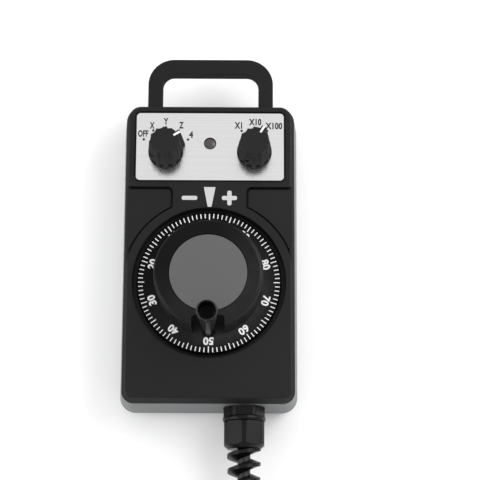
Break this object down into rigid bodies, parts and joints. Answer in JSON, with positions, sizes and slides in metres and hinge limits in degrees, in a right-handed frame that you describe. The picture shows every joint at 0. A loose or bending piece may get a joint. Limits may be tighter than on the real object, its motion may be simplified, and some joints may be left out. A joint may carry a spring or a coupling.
{
  "type": "pulse generator handwheel",
  "caption": "Hand-held pulse generator with a graduated crank handwheel, two rotary selector switches, a carrying loop and a coiled lead with a round plug.",
  "frame": {"origin": "where the handwheel's axis meets the plane of the flat back that the pendant lies on", "axes": "+Z out of the front face along the handwheel's axis, +Y towards the carrying loop, +X to the right of a reader of the panel"},
  "size_m": [0.1243, 0.3608, 0.092],
  "materials": {
    "cover_black": "fine textured moulding",
    "shell_grey": "textured grey moulding",
    "seal_black": "matt",
    "zinc_steel": "zinc plated",
    "black_steel": "blackened",
    "loop_black": "satin",
    "brushed_plate": "brushed along the width, with printed marks",
    "led_lens": "tinted lens, unlit",
    "circuit_board": "solder mask",
    "switch_black": "moulded",
    "nickel": "nickel plated",
    "gold_contact": "gold plated",
    "knob_black": "satin",
    "white_mark": "paint filled",
    "dial_black": "black anodised, with white graduations",
    "hub_black": "black anodised, satin",
    "disc_grey": "dark grey anodised, satin",
    "grip_black": "polished",
    "cast_flange": "machined",
    "bearing_steel": "ground",
    "code_glass": "printed film",
    "brass_wheel": "milled",
    "terminal_green": "moulded",
    "gland_black": "satin polyamide",
    "cable_black": "satin sheath",
    "tie_black": "hook and loop tape",
    "plug_black": "satin"
  },
  "bodies": {
    "casing": {"front_cover": "cover_black", "rear_shell": "shell_grey", "casing_seal": "seal_black", "casing_screws": "zinc_steel", "carrying_loop": "loop_black", "loop_screws": "zinc_steel", "faceplate": "brushed_plate", "indicator_led": "led_lens", "indicator_board": "circuit_board", "axis_switch_housing": "switch_black", "axis_switch_nut": "nickel", "axis_switch_terminals": "gold_contact", "multiplier_switch_housing": "switch_black", "multiplier_switch_nut": "nickel", "multiplier_switch_terminals": "gold_contact", "encoder_flange": "cast_flange", "encoder_housing": "switch_black", "flange_screws": "zinc_steel", "encoder_bearings": "bearing_steel", "encoder_board": "circuit_board", "encoder_sensor": "switch_black", "click_spring": "bearing_steel", "wiring_board": "circuit_board", "terminal_block": "terminal_green", "board_screws": "zinc_steel", "gland_body": "gland_black", "gland_washer": "seal_black", "gland_locknut": "gland_black", "gland_claw": "gland_black", "gland_seal": "seal_black", "dome_nut": "gland_black", "spiral_tail": "gland_black", "inner_cable": "cable_black", "cable": "cable_black", "cable_coil": "cable_black", "coil_tie": "tie_black", "plug_shell": "plug_black", "plug_insert": "switch_black", "plug_pins": "gold_contact"},
    "wheel": {"dial": "dial_black", "hub": "hub_black", "hub_disc": "disc_grey", "hub_screw": "zinc_steel", "dial_screws": "zinc_steel", "crank_post": "black_steel", "crank_screw": "black_steel", "encoder_shaft": "nickel", "code_disc": "code_glass", "click_wheel": "brass_wheel"},
    "crank": {"crank_grip": "grip_black"},
    "axis_selector": {"axis_knob": "knob_black", "axis_knob_line": "white_mark", "axis_knob_screw": "zinc_steel", "axis_switch_shaft": "nickel"},
    "multiplier_selector": {"multiplier_knob": "knob_black", "multiplier_knob_line": "white_mark", "multiplier_knob_screw": "zinc_steel", "multiplier_switch_shaft": "nickel"},
    "coupling_ring": {"plug_ring": "nickel"}
  },
  "joints": [
    {"name": "wheel_turn", "type": "hinge", "parent": "casing", "child": "wheel", "pos_m": [0, 0, 0], "axis": [0, 0, 1], "continuous": true},
    {"name": "crank_spin", "type": "hinge", "parent": "wheel", "child": "crank", "pos_m": [0, -0.0258, 0], "axis": [0, 0, 1], "continuous": true},
    {"name": "axis_select", "type": "hinge", "parent": "casing", "child": "axis_selector", "pos_m": [-0.0234, 0.0704, 0], "axis": [0, 0, 1], "range_deg": [0, 120]},
    {"name": "multiplier_select", "type": "hinge", "parent": "casing", "child": "multiplier_selector", "pos_m": [0.0234, 0.0704, 0], "axis": [0, 0, 1], "range_deg": [0, 60]},
    {"name": "coupling_ring_turn", "type": "hinge", "parent": "casing", "child": "coupling_ring", "pos_m": [-0.0665, -0.156, 0.0116], "axis": [0, 1, 0], "continuous": true}
  ]
}
